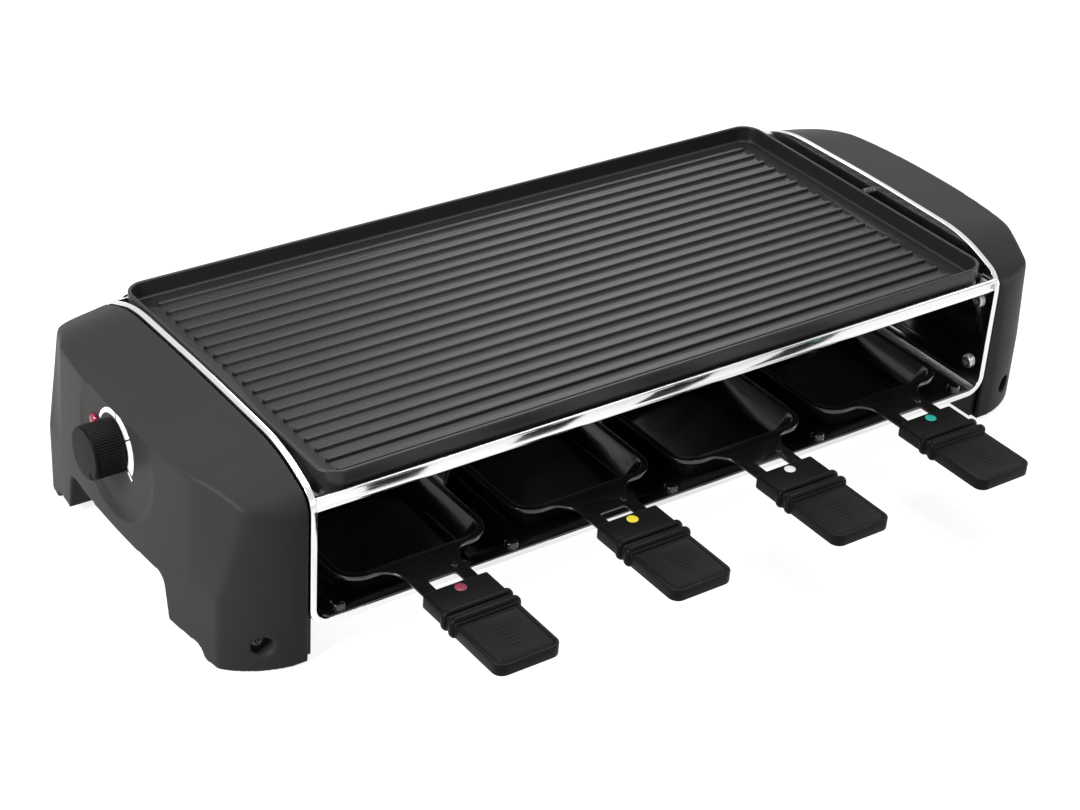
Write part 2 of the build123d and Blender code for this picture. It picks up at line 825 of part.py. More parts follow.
with BuildPart() as right_housing:
    add(outer)
    add(inner, mode=Mode.SUBTRACT)
    add(posts.part)
    with BuildSketch(across(wall_inner)):
        Rectangle(frame_depth + 2 * overrun, 2 * (rim_height + overrun))
    extrude(amount=shell_start - wall_inner, mode=Mode.SUBTRACT)
    with BuildSketch(across(shell_start)):
        with Locations(*wall_screw_places):
            Circle(screw_radius + screw_play)
    extrude(amount=wall_screw_length, mode=Mode.SUBTRACT)
    for way in (-1, 1):
        with BuildSketch(facing(way * leg_hole_floor)):
            with Locations((-leg_screw_x, leg_screw_height)):
                Circle(leg_hole_radius)
        extrude(amount=way * overrun, mode=Mode.SUBTRACT)
        with BuildSketch(facing(way * leg_boss_end)):
            with Locations((-leg_screw_x, leg_screw_height)):
                Circle(screw_radius + screw_hole_play)
        extrude(amount=way * overrun, mode=Mode.SUBTRACT)
    with BuildSketch(level(0)):
        with Locations(
            (half_length + foot_pad_reach, half_depth - foot_pad_setback),
            (half_length + foot_pad_reach, foot_pad_setback - half_depth),
        ):
            Circle(foot_pad_radius + foot_pad_play)
    extrude(amount=foot_pad_thickness, mode=Mode.SUBTRACT)
right_housing.part.label = "right_housing"
export_step(right_housing.part, "parts/right_housing.step")

# Housing at -X: the same shell mirrored, with the dial's facet, holes for the controls and the cable inlet
inlet_row = half_depth - inlet_facet
left_outer = outer.mirror(across(0))
with BuildPart() as backing:
    with BuildSketch(control(dial_reach - dial_backing)):
        Circle(dial_backing_radius)
    extrude(amount=overrun)
    with BuildSketch(facing(inlet_row - inlet_backing)):
        with Locations((half_length + inlet_reach, inlet_level)):
            Circle(inlet_facet_radius + shell_wall)
    extrude(amount=overrun)
    add(left_outer, mode=Mode.INTERSECT)

with BuildPart() as left_housing:
    mirror(right_housing.part, about=across(0))
    add(backing.part)
    with BuildSketch(control(dial_reach)):
        Circle(dial_facet_radius)
        with Locations((0, dial_facet_top - knob_height)):
            Rectangle(2 * dial_facet_radius, overrun, align=(Align.CENTER, Align.MIN), mode=Mode.SUBTRACT)
    extrude(amount=overrun, mode=Mode.SUBTRACT)
    with BuildSketch(control(dial_reach)):
        Circle(thermostat_bush_radius + spindle_hole_play)
        with Locations((-lens_offset, lens_rise)):
            Circle(lens_stem_radius + spindle_hole_play)
    extrude(amount=-dial_backing, mode=Mode.SUBTRACT)
    with BuildSketch(facing(inlet_row)):
        with Locations((half_length + inlet_reach, inlet_level)):
            Circle(inlet_facet_radius)
    extrude(amount=overrun, mode=Mode.SUBTRACT)
    with BuildSketch(facing(inlet_row - inlet_backing)):
        with Locations((half_length + inlet_reach, inlet_level)):
            Circle(inlet_radius + inlet_play)
    extrude(amount=overrun, mode=Mode.SUBTRACT)
left_housing.part.label = "left_housing"
export_step(left_housing.part, "parts/left_housing.step")


def cover_part():
    # Cover between the frame's wall and the housing at +X, with a tab for each leg's screw
    with BuildPart() as made:
        with BuildSketch(across(wall_outer)):
            offset(side_face(0), amount=-cover_inset)
            add(foot_face(cover_foot), mode=Mode.INTERSECT)
        extrude(amount=shell_start - wall_outer)
        for way in (-1, 1):
            with BuildSketch(facing(way * leg_boss_end)):
                with Locations((-shell_start, leg_screw_height)):
                    Rectangle(tab_reach - shell_start + half_length, tab_height,
                              align=(Align.MAX, Align.CENTER))
            extrude(amount=-way * tab_depth)
            with BuildSketch(facing(way * leg_boss_end)):
                with Locations((-leg_screw_x, leg_screw_height)):
                    Circle(screw_radius + screw_play)
            extrude(amount=-way * tab_depth, mode=Mode.SUBTRACT)
        with BuildSketch(across(wall_outer)):
            with Locations(*wall_screw_places):
                Circle(screw_radius + screw_hole_play)
        extrude(amount=shell_start - wall_outer, mode=Mode.SUBTRACT)
    return made.part


cover = cover_part()
with BuildPart() as right_inner_cover:
    add(cover)
right_inner_cover.part.label = "right_inner_cover"
export_step(right_inner_cover.part, "parts/right_inner_cover.step")

with BuildPart() as left_inner_cover:
    mirror(cover, about=across(0))
    with BuildSketch(across(-shell_start)):
        with Locations((-element_row, element_height), (element_row, element_height)):
            Circle(bush_radius + bush_play)
    extrude(amount=shell_start - wall_outer, mode=Mode.SUBTRACT)
left_inner_cover.part.label = "left_inner_cover"
export_step(left_inner_cover.part, "parts/left_inner_cover.step")

# Rubber pads let into the four toes
with BuildPart() as foot_pads:
    with BuildSketch(level(0)):
        with GridLocations(2 * (half_length + foot_pad_reach), 2 * (half_depth - foot_pad_setback), 2, 2):
            Circle(foot_pad_radius)
    extrude(amount=foot_pad_thickness)
    fillet(foot_pads.edges().group_by(Axis.Z)[0], foot_pad_play)
foot_pads.part.label = "foot_pads"
export_step(foot_pads.part, "parts/foot_pads.step")

# Screws through the side walls into the housings' posts, and up the legs' holes into the covers' tabs
wall_screw = screw(wall_screw_length)
with BuildPart() as wall_screws:
    for end in (-1, 1):
        for y, z in wall_screw_places:
            with Locations(Location((grill_x + end * wall_inner, y, z), (0, -end * 90, 0))):
                add(wall_screw)
wall_screws.part.label = "wall_screws"
export_step(wall_screws.part, "parts/wall_screws.step")

leg_screw = screw(leg_screw_length)
with BuildPart() as leg_screws:
    for end in (-1, 1):
        for way in (-1, 1):
            with Locations(Location((grill_x + end * leg_screw_x, way * leg_hole_floor, leg_screw_height),
                                    (-way * 90, 0, 0))):
                add(leg_screw)
leg_screws.part.label = "leg_screws"
export_step(leg_screws.part, "parts/leg_screws.step")

# Studs on the side walls that keep the plate in the middle
with BuildPart() as plate_studs:
    for end in (-1, 1):
        with BuildSketch(across(end * wall_inner)):
            with Locations((0, rim_height - stud_drop)):
                Circle(stud_radius)
        extrude(amount=-end * (wall_clearance - stud_tip_gap))
    tips = plate_studs.edges().filter_by(lambda e: abs(e.center().X - grill_x) < wall_inner - stud_round)
    fillet(tips.filter_by(GeomType.CIRCLE), stud_round)
plate_studs.part.label = "plate_studs"
export_step(plate_studs.part, "parts/plate_studs.step")

# Tubular element: four runs and three turns, both ends through the wall at -X
turn_middle = wall_inner - element_end_gap - element_turn_radius
near_row = element_row - 2 * element_turn_radius
element_end = -shell_start - element_stub
with BuildPart() as heating_element:
    with BuildLine(level(element_height)) as run:
        Line((element_end, -element_row), (turn_middle, -element_row))
        ThreePointArc(
            (turn_middle, -element_row),
            (turn_middle + element_turn_radius, element_turn_radius - element_row),
            (turn_middle, -near_row),
        )
        Line((turn_middle, -near_row), (-turn_middle, -near_row))
        ThreePointArc((-turn_middle, -near_row), (-turn_middle - near_row, 0), (-turn_middle, near_row))
        Line((-turn_middle, near_row), (turn_middle, near_row))
        ThreePointArc(
            (turn_middle, near_row),
            (turn_middle + element_turn_radius, element_row - element_turn_radius),
            (turn_middle, element_row),
        )
        Line((turn_middle, element_row), (element_end, element_row))
    with BuildSketch(across(element_end)):
        with Locations((-element_row, element_height)):
            Circle(element_radius)
    sweep(path=run.wires()[0])
    with BuildSketch(across(element_end)):
        with Locations((-element_row, element_height), (element_row, element_height)):
            Circle(element_pin_radius)
    extrude(amount=-element_pin_length)
heating_element.part.label = "heating_element"
export_step(heating_element.part, "parts/heating_element.step")

# Ceramic bushes where the element passes the wall and the cover
bush_back_reach = shell_start + bush_stand_out
with BuildPart() as element_bushes:
    for way in (-1, 1):
        with BuildSketch(across(-wall_inner)):
            with Locations((way * element_row, element_height)):
                Circle(bush_flange_radius)
        extrude(amount=bush_flange)
        with BuildSketch(across(-wall_inner)):
            with Locations((way * element_row, element_height)):
                Circle(bush_radius)
        extrude(amount=wall_inner - bush_back_reach)
        with BuildSketch(across(-wall_inner + bush_flange)):
            with Locations((way * element_row, element_height)):
                Circle(element_radius + screw_play)
        extrude(amount=wall_inner - bush_back_reach - bush_flange, mode=Mode.SUBTRACT)
element_bushes.part.label = "element_bushes"
export_step(element_bushes.part, "parts/element_bushes.step")

# Two cross bars under the element, their ends bent up under the rails' flanges
bar_top = element_height - element_radius
bar_rise = rail_inner_edge - bar_rise_margin
with BuildPart() as element_crossbars:
    for end in (-1, 1):
        with BuildSketch(across(end * bar_spacing - bar_width / 2)):
            with BuildLine():
                Polyline(
                    (-bar_rise - bar_foot, rail_bottom),
                    (-bar_rise, rail_bottom),
                    (-bar_rise + bar_sheet, bar_top),
                    (bar_rise - bar_sheet, bar_top),
                    (bar_rise, rail_bottom),
                    (bar_rise + bar_foot, rail_bottom),
                    (bar_rise + bar_foot, rail_bottom - bar_sheet),
                    (bar_rise + bar_sheet, rail_bottom - bar_sheet),
                    (bar_rise, bar_top - bar_sheet),
                    (-bar_rise, bar_top - bar_sheet),
                    (-bar_rise - bar_sheet, rail_bottom - bar_sheet),
                    (-bar_rise - bar_foot, rail_bottom - bar_sheet),
                    close=True,
                )
            make_face()
        extrude(amount=bar_width)
element_crossbars.part.label = "element_crossbars"
export_step(element_crossbars.part, "parts/element_crossbars.step")

# Knob: knurled between a plain base and a plain face rim, hollow behind, with a hub for the spindle
knob_reach = dial_reach + knob_gap
with BuildPart() as knob:
    with BuildSketch(control(knob_reach)):
        Circle(knob_radius)
    extrude(amount=knob_length)
    fillet(knob.edges().group_by(Axis.X)[0], knob_round)
    with BuildSketch(control(knob_reach + knob_plain_base)):
        with PolarLocations(knob_radius, knob_groove_count):
            Circle(knob_groove)
    extrude(amount=knob_length - knob_plain_base - knob_plain_face, mode=Mode.SUBTRACT)
    with BuildSketch(control(knob_reach)):
        Circle(knob_radius - knob_wall)
        Circle(knob_hub_radius, mode=Mode.SUBTRACT)
    extrude(amount=knob_cavity_depth, mode=Mode.SUBTRACT)
    with BuildSketch(control(knob_reach)):
        Circle(knob_hub_radius)
    extrude(amount=knob_hub_setback, mode=Mode.SUBTRACT)
    with BuildSketch(control(knob_reach)):
        Circle(spindle_radius + screw_play)
        with Locations((0, spindle_radius - spindle_flat + screw_play)):
            Rectangle(2 * spindle_radius, spindle_radius, align=(Align.CENTER, Align.MIN), mode=Mode.SUBTRACT)
    extrude(amount=knob_bore_depth, mode=Mode.SUBTRACT)
    with BuildSketch(control(knob_reach + knob_length)):
        with PolarLocations(knob_radius - knob_pointer_length / 2, 1, start_angle=knob_pointer_angle):
            Rectangle(knob_pointer_length + 2 * hair, knob_pointer_width)
    extrude(amount=-knob_pointer_depth, mode=Mode.SUBTRACT)
knob.part.label = "knob"
export_step(knob.part, "parts/knob.step")

# Spindle with a flat, from inside the thermostat into the knob's hub
bush_back = dial_reach - dial_backing
spindle_start = bush_back - thermostat_bush_length - spindle_back
with BuildPart() as thermostat_spindle:
    with BuildSketch(control(spindle_start)):
        Circle(spindle_radius)
    extrude(amount=knob_reach + knob_bore_depth - spindle_start)
    with BuildSketch(control(dial_reach)):
        with Locations((0, spindle_radius - spindle_flat)):
            Rectangle(2 * spindle_radius, spindle_radius, align=(Align.CENTER, Align.MIN))
    extrude(amount=overrun, mode=Mode.SUBTRACT)
thermostat_spindle.part.label = "thermostat_spindle"
export_step(thermostat_spindle.part, "parts/thermostat_spindle.step")

# Thermostat behind the facet, with a collar round the spindle
body_front = bush_back - thermostat_bush_length
body_back = body_front - bracket_sheet - thermostat_depth
with BuildPart() as thermostat_body:
    with BuildSketch(control(body_back)):
        RectangleRounded(thermostat_width, thermostat_height, thermostat_corner)
    extrude(amount=thermostat_depth)
    with BuildSketch(control(body_front - bracket_sheet)):
        Circle(thermostat_bush_radius)
    extrude(amount=dial_reach - spindle_hole_play - body_front + bracket_sheet)
    with BuildSketch(control(spindle_start)):
        Circle(spindle_radius + spindle_hole_play)
    extrude(amount=overrun, mode=Mode.SUBTRACT)
thermostat_body.part.label = "thermostat_body"
export_step(thermostat_body.part, "parts/thermostat_body.step")

# Bent strap that holds the thermostat against the inner cover
strap_half = thermostat_width / 2 + bracket_gap
strap_front = half_length + body_front
with BuildPart() as thermostat_bracket:
    with BuildSketch(level(knob_height - bracket_width / 2)):
        with BuildLine():
            Polyline(
                (-shell_start, -strap_half - bracket_foot),
                (-shell_start, -strap_half),
                (bracket_sheet - strap_front, -strap_half),
                (bracket_sheet - strap_front, strap_half),
                (-shell_start, strap_half),
                (-shell_start, strap_half + bracket_foot),
                (-shell_start - bracket_sheet, strap_half + bracket_foot),
                (-shell_start - bracket_sheet, strap_half + bracket_sheet),
                (-strap_front, strap_half + bracket_sheet),
                (-strap_front, -strap_half - bracket_sheet),
                (-shell_start - bracket_sheet, -strap_half - bracket_sheet),
                (-shell_start - bracket_sheet, -strap_half - bracket_foot),
                close=True,
            )
        make_face()
    extrude(amount=bracket_width)
    with BuildSketch(control(body_front - bracket_sheet)):
        Circle(thermostat_bush_radius + spindle_hole_play)
    extrude(amount=bracket_sheet, mode=Mode.SUBTRACT)
thermostat_bracket.part.label = "thermostat_bracket"
export_step(thermostat_bracket.part, "parts/thermostat_bracket.step")

# White crescent scale on the facet, thicker towards hot, with two gaps and a bar at its end
dial_span = 2 * dial_radius
dial_start = math.radians(dial_start_angle)
dial_end = math.radians(dial_end_angle)
with BuildPart() as dial_scale:
    with BuildSketch(control(dial_reach)):
        Circle(dial_radius)
        with Locations((-dial_shift, 0)):
            Circle(dial_inner_radius, mode=Mode.SUBTRACT)
        Polygon(
            (0, 0),
            (dial_span * math.cos(dial_start), dial_span * math.sin(dial_start)),
            (-dial_span, -dial_span),
            (0, -dial_span),
            (dial_span * math.cos(dial_end), dial_span * math.sin(dial_end)),
            align=None,
            mode=Mode.SUBTRACT,
        )
        for angle in dial_tick_angles:
            with PolarLocations(dial_radius, 1, start_angle=angle):
                Rectangle(dial_radius, dial_tick, mode=Mode.SUBTRACT)
        with PolarLocations(dial_bar_start, 1, start_angle=dial_bar_angle):
            Rectangle(dial_bar_length, dial_bar_width, align=(Align.MIN, Align.CENTER))
    extrude(amount=dial_thickness)
dial_scale.part.label = "dial_scale"
export_step(dial_scale.part, "parts/dial_scale.step")

# Pilot lamp: a domed lens on the facet and the lamp behind it
with BuildPart() as lamp_lens:
    with BuildSketch(control(dial_reach)):
        with Locations((-lens_offset, lens_rise)):
            Circle(lens_radius)
    extrude(amount=lens_dome)
    fillet(lamp_lens.edges().group_by(Axis.X)[0], lens_dome - hair)
    with BuildSketch(control(dial_reach)):
        with Locations((-lens_offset, lens_rise)):
            Circle(lens_stem_radius)
    extrude(amount=-lens_length)
lamp_lens.part.label = "lamp_lens"
export_step(lamp_lens.part, "parts/lamp_lens.step")

with BuildPart() as lamp_body:
    with BuildSketch(control(dial_reach - lens_length)):
        with Locations((-lens_offset, lens_rise)):
            Circle(lamp_radius)
    extrude(amount=-lamp_length)
lamp_body.part.label = "lamp_body"
export_step(lamp_body.part, "parts/lamp_body.step")

# Terminal block on the inner cover, with screw wells
with BuildPart() as terminal_block:
    with BuildSketch(across(-shell_start)):
        with Locations((terminal_place, terminal_level)):
            RectangleRounded(terminal_length, terminal_height, terminal_round)
    extrude(amount=-terminal_depth)
    with BuildSketch(across(-shell_start - terminal_depth)):
        with Locations((terminal_place, terminal_level)):
            with GridLocations(terminal_pitch, 0, terminal_count, 1):
                Circle(terminal_hole_radius)
    extrude(amount=terminal_hole_depth, mode=Mode.SUBTRACT)
terminal_block.part.label = "terminal_block"
export_step(terminal_block.part, "parts/terminal_block.step")

# Thermal fuse in a clip on the inner cover
fuse_x = shell_start + fuse_clip_sheet + fuse_radius
with BuildPart() as thermal_fuse:
    with BuildSketch(facing(fuse_place - fuse_length / 2)):
        with Locations((fuse_x, fuse_level)):
            Circle(fuse_radius)
    extrude(amount=fuse_length)
    with BuildSketch(across(-shell_start)):
        with Locations((fuse_place, fuse_level)):
            Rectangle(fuse_clip, 3 * fuse_radius)
    extrude(amount=-fuse_clip_sheet - fuse_radius)
thermal_fuse.part.label = "thermal_fuse"
export_step(thermal_fuse.part, "parts/thermal_fuse.step")

# Wires between inlet, terminals, fuse, thermostat, lamp and element, each point as reach, Y and Z
pin_x = -element_end + element_pin_length
wire_x = half_length + end_reach - wire_inset
block_x = shell_start + terminal_depth / 2
block_face = shell_start + terminal_depth
block_near = terminal_place - terminal_length / 2
block_far = terminal_place + terminal_length / 2
lamp_back = half_length + dial_reach - lens_length - lamp_length
lamp_level = knob_height + lens_rise
thermostat_back = half_length + body_back
inlet_end = inlet_row - inlet_length
wire_runs = (
    # Inlet to terminals
    ((half_length + inlet_reach, inlet_end, inlet_level),
     (half_length + inlet_reach, inlet_end - wire_step, inlet_level),
     (block_x, inlet_end - wire_step, terminal_level),
     (block_x, block_far, terminal_level)),
    # Terminals to thermostat
    ((block_x, block_near, terminal_level),
     (block_x, 0, terminal_level),
     (block_x, 0, knob_height - wire_step),
     (thermostat_back, 0, knob_height - wire_step)),
    # Thermostat to fuse
    ((thermostat_back, -2 * wire_step, knob_height),
     (block_x, -2 * wire_step, knob_height),
     (fuse_x, -2 * wire_step, fuse_level),
     (fuse_x, fuse_place + fuse_length / 2, fuse_level)),
    # Fuse to the element's front pin
    ((fuse_x, fuse_place - fuse_length / 2, fuse_level),
     (fuse_x, -element_row, fuse_level),
     (wire_x, -element_row, fuse_level),
     (wire_x, -element_row, element_height),
     (pin_x, -element_row, element_height)),
    # Element's rear pin to the terminals
    ((pin_x, element_row, element_height),
     (wire_x, element_row, element_height),
     (wire_x, element_row, terminal_level),
     (block_face, element_row, terminal_level)),
    # Terminals to lamp
    ((block_face, terminal_place - 3 * wire_step, terminal_level),
     (block_face + 3 * wire_step, terminal_place - 3 * wire_step, terminal_level),
     (lamp_back - 2 * wire_step, lens_offset, lamp_level),
     (lamp_back, lens_offset, lamp_level)),
)
with BuildPart() as inner_wires:
    for points in wire_runs:
        with BuildLine() as lead:
            FilletPolyline(*[(grill_x - x, y, z) for x, y, z in points], radius=wire_bend)
        with BuildSketch(Plane(origin=lead.line @ 0, z_dir=lead.line % 0)):
            Circle(wire_radius)
        sweep(path=lead.wires()[0])
inner_wires.part.label = "inner_wires"
export_step(inner_wires.part, "parts/inner_wires.step")

# Cable inlet bush at the rear of the control housing
with BuildPart() as cable_inlet:
    with BuildSketch(facing(inlet_row)):
        with Locations((half_length + inlet_reach, inlet_level)):
            Circle(inlet_flange_radius)
    extrude(amount=inlet_flange)
    fillet(cable_inlet.edges().group_by(Axis.Y)[-1], terminal_round)
    with BuildSketch(facing(inlet_row)):
        with Locations((half_length + inlet_reach, inlet_level)):
            Circle(inlet_radius)
    extrude(amount=-inlet_length)
    with BuildSketch(facing(inlet_end + wire_step)):
        with Locations((half_length + inlet_reach, inlet_level)):
            Circle(inlet_bore)
    extrude(amount=overrun, mode=Mode.SUBTRACT)
cable_inlet.part.label = "cable_inlet"
export_step(cable_inlet.part, "parts/cable_inlet.step")
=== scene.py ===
import json
import math

import bpy
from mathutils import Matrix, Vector

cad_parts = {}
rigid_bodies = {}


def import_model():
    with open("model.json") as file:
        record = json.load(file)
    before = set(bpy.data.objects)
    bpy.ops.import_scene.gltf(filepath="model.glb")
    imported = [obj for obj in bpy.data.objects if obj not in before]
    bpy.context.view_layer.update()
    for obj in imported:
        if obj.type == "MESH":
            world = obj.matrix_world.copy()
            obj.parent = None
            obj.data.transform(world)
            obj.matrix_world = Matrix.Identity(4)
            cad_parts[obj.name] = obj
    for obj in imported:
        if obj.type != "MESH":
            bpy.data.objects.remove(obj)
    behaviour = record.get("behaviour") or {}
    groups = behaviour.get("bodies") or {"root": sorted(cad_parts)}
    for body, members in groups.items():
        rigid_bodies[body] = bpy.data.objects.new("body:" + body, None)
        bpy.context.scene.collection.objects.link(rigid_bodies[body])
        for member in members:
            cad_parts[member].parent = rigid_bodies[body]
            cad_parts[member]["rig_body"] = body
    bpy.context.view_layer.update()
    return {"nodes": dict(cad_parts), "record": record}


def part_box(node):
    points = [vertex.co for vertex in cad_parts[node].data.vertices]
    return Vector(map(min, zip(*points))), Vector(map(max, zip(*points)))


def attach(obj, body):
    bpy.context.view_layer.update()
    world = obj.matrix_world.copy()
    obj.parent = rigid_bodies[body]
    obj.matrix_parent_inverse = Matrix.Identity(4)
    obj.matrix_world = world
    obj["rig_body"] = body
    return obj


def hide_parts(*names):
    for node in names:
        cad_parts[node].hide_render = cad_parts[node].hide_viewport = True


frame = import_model()
nodes = frame["nodes"]
nodeSlots = {part["node"]: part["material_slot"] for part in frame["record"]["subparts"]}
nodeSlots["plate_studs"] = "element_steel"  # heat has darkened them
nodeSlots["leg_screws"] = "element_steel"  # painted shade: the screws take the dark element steel because they sit in shade in their deep holes
print("grill loaded:", len(nodes), "nodes")


class Wire:
    # an output of a node, ready for sums

    def __init__(self, graph, socket):
        self.graph = graph
        self.socket = socket

    def sum(self, operation, first, second):
        return self.graph.node("ShaderNodeMath", {0: first, 1: second}, operation=operation)

    def __add__(self, other):
        return self.sum("ADD", self, other)

    def __radd__(self, other):
        return self.sum("ADD", other, self)

    def __sub__(self, other):
        return self.sum("SUBTRACT", self, other)

    def __rsub__(self, other):
        return self.sum("SUBTRACT", other, self)

    def __mul__(self, other):
        return self.sum("MULTIPLY", self, other)

    def __rmul__(self, other):
        return self.sum("MULTIPLY", other, self)


class Graph:
    # the node tree of a material or a world

    def __init__(self, owner, outputKind):
        owner.use_nodes = True
        self.tree = owner.node_tree
        self.tree.nodes.clear()
        self.output = self.add(outputKind)

    def add(self, kind, sockets=None, **settings):
        made = self.tree.nodes.new(kind)
        for key, value in settings.items():
            setattr(made, key, value)
        for name, value in (sockets or {}).items():
            self.put(made.inputs[name], value)
        return made

    def node(self, kind, sockets=None, out=0, **settings):
        return Wire(self, self.add(kind, sockets, **settings).outputs[out])

    def put(self, socket, value):
        if isinstance(value, Wire):
            self.tree.links.new(value.socket, socket)
        else:
            socket.default_value = value

    def show(self, surface):
        self.put(self.output.inputs["Surface"], surface)


noiseBand = (0.3, 0.7)  # where most of a noise lies
edgeSamples = 6
edgeBend = 0.12  # how far the rounded normal has turned at a full edge


class Finish(Graph):
    # one material, with the patterns that the finishes share

    def __init__(self, name):
        self.material = bpy.data.materials.new(name)
        super().__init__(self.material, "ShaderNodeOutputMaterial")
        self.shader = self.add("ShaderNodeBsdfPrincipled")
        self.show(Wire(self, self.shader.outputs[0]))

    def set(self, **sockets):
        for name, value in sockets.items():
            self.put(self.shader.inputs[name.replace("_", " ")], value)

    def noise(self, scale, detail=2.0, stretch=(1, 1, 1), roughness=0.5):
        spot = self.node("ShaderNodeTexCoord", out="Object")
        place = self.node("ShaderNodeMapping", {"Vector": spot, "Scale": stretch})
        return self.node("ShaderNodeTexNoise", {
            "Vector": place, "Scale": scale, "Detail": detail, "Roughness": roughness})

    def spread(self, value, low, high, toLow, toHigh):
        return self.node("ShaderNodeMapRange", {
            "Value": value, "From Min": low, "From Max": high, "To Min": toLow, "To Max": toHigh})

    def around(self, noise, middle, swing, band=noiseBand):
        # a value that a noise moves between the two ends of its swing
        return self.spread(noise, *band, middle + swing[0], middle + swing[1])

    def mix(self, share, first, second):
        first, second = [colour if isinstance(colour, Wire) else (*colour, 1) for colour in (first, second)]
        return self.node("ShaderNodeMix", {0: share, 6: first, 7: second}, out=2, data_type="RGBA")

    def toned(self, cloud, base, tones):
        # the base colour, drifting between a darker and a lighter tone
        dark, light = [[min(1.0, channel * tone) for channel in base] for tone in tones]
        return self.mix(cloud, dark, light)

    def edges(self, radius):
        # how much a spot lies on an outer or inner edge
        rounded = self.node("ShaderNodeBevel", {"Radius": radius}, samples=edgeSamples)
        flat = self.node("ShaderNodeNewGeometry", out="Normal")
        alike = self.node("ShaderNodeVectorMath", {0: rounded, 1: flat}, out="Value", operation="DOT_PRODUCT")
        return self.spread(1 - alike, 0.0, edgeBend, 0.0, 1.0)

    def bump(self, height, distance, strength=1.0, under=None):
        sockets = {"Height": height, "Distance": distance, "Strength": strength}
        if under:
            sockets["Normal"] = under
        return self.node("ShaderNodeBump", sockets)


# moulded plastic and rubber: what they share, then one row for each slot; noises are scale and detail
plasticAll = {
    "cloud": (9.0, 3.0), "tones": (0.86, 1.16), "cloudRough": (-0.02, 0.03), "grainRough": (-0.05, 0.05),
    "edge": 0.0008, "wornTo": (0.3, 0.3, 0.3),
}
plastic = {
    "housing_plastic": dict(
        base=(0.0240, 0.0226, 0.0217), rough=0.46, shine=0.06, grain=1500.0, depth=0.00005, worn=0.04),
    "cover_plastic": dict(
        base=(0.007, 0.007, 0.007), rough=0.6, shine=0.2, grain=1200.0, depth=0.00007, worn=0.02),
    "handle_plastic": dict(
        base=(0.0028, 0.0028, 0.0030), rough=0.40, shine=0.08, grain=1700.0, depth=0.00005, worn=0.04),
    "knob_plastic": dict(
        base=(0.0024, 0.0023, 0.0023), rough=0.45, shine=0.05, grain=1700.0, depth=0.00005, worn=0.05),
    "rubber": dict(
        base=(0.009, 0.009, 0.009), rough=0.75, shine=0.2, grain=900.0, depth=0.00010, worn=0.02),
}


def mouldedPlastic(name, base, rough, shine, grain, depth, worn):
    finish = Finish(name)
    cloud = finish.noise(*plasticAll["cloud"])
    fine = finish.noise(grain)
    tint = finish.toned(cloud, base, plasticAll["tones"])
    edge = finish.edges(plasticAll["edge"])
    grainy = finish.around(fine, rough, plasticAll["grainRough"])
    finish.set(
        Base_Color=finish.mix(edge * worn, tint, plasticAll["wornTo"]),
        Roughness=grainy + finish.around(cloud, 0.0, plasticAll["cloudRough"]),
        Normal=finish.bump(fine, depth),
        Specular_IOR_Level=shine,
    )
    return finish.material


# glossy enamel of the pans and the tray
enamel = {
    "base": (0.0055, 0.0052, 0.0050), "tones": (0.8, 1.3), "rough": 0.14, "coat": 0.35, "coatRough": 0.06,
    "cloud": (14.0, 3.0), "cloudRough": (-0.03, 0.06), "peel": (420.0, 1.0), "ripple": 0.00005,
    "specks": (2600.0, 1.0), "speckBand": (0.4, 0.8), "speckRough": (0.0, 0.05),
    "edge": 0.0007, "worn": 0.06, "wornTo": (0.35, 0.35, 0.36),
}


def glossyEnamel(name):
    finish = Finish(name)
    cloud = finish.noise(*enamel["cloud"])
    peel = finish.noise(*enamel["peel"])
    specks = finish.noise(*enamel["specks"])
    edge = finish.edges(enamel["edge"])
    tint = finish.toned(cloud, enamel["base"], enamel["tones"])
    speckled = finish.around(specks, 0.0, enamel["speckRough"], enamel["speckBand"])
    finish.set(
        Base_Color=finish.mix(edge * enamel["worn"], tint, enamel["wornTo"]),
        Roughness=finish.around(cloud, enamel["rough"], enamel["cloudRough"]) + speckled,
        Normal=finish.bump(peel, enamel["ripple"]),
        Coat_Weight=enamel["coat"],
        Coat_Roughness=enamel["coatRough"],
    )
    return finish.material


# non-stick coating of the plate, with fine pale flecks
coating = {
    "base": (0.0150, 0.0136, 0.0134), "tones": (0.8, 1.25), "rough": 0.32, "shine": 0.25,
    "cloud": (7.0, 4.0), "orange": (300.0, 1.0), "orangeDepth": 0.00006, "orangeStrength": 0.5,
    "speckScale": 1900.0, "speckJitter": 0.6, "speckRough": (-0.06, 0.08), "speckDepth": 0.00006,
    "speckStrength": 0.8, "fleckBand": (0.62, 0.8), "fleckShare": (0.0, 0.06), "fleckTo": (0.16, 0.16, 0.165),
    "edge": 0.0009, "worn": 0.10, "wornTo": (0.22, 0.22, 0.23),
}


def nonStickCoating(name):
    finish = Finish(name)
    cloud = finish.noise(*coating["cloud"])
    specks = finish.noise(coating["speckScale"], roughness=coating["speckJitter"])
    orange = finish.noise(*coating["orange"])
    edge = finish.edges(coating["edge"])
    tint = finish.toned(cloud, coating["base"], coating["tones"])
    flecks = finish.around(specks, 0.0, coating["fleckShare"], coating["fleckBand"])
    flecked = finish.mix(flecks, tint, coating["fleckTo"])
    skin = finish.bump(orange, coating["orangeDepth"], coating["orangeStrength"])
    finish.set(
        Base_Color=finish.mix(edge * coating["worn"], flecked, coating["wornTo"]),
        Roughness=finish.around(specks, coating["rough"], coating["speckRough"]),
        Normal=finish.bump(specks, coating["speckDepth"], coating["speckStrength"], skin),
        Specular_IOR_Level=coating["shine"],
    )
    return finish.material


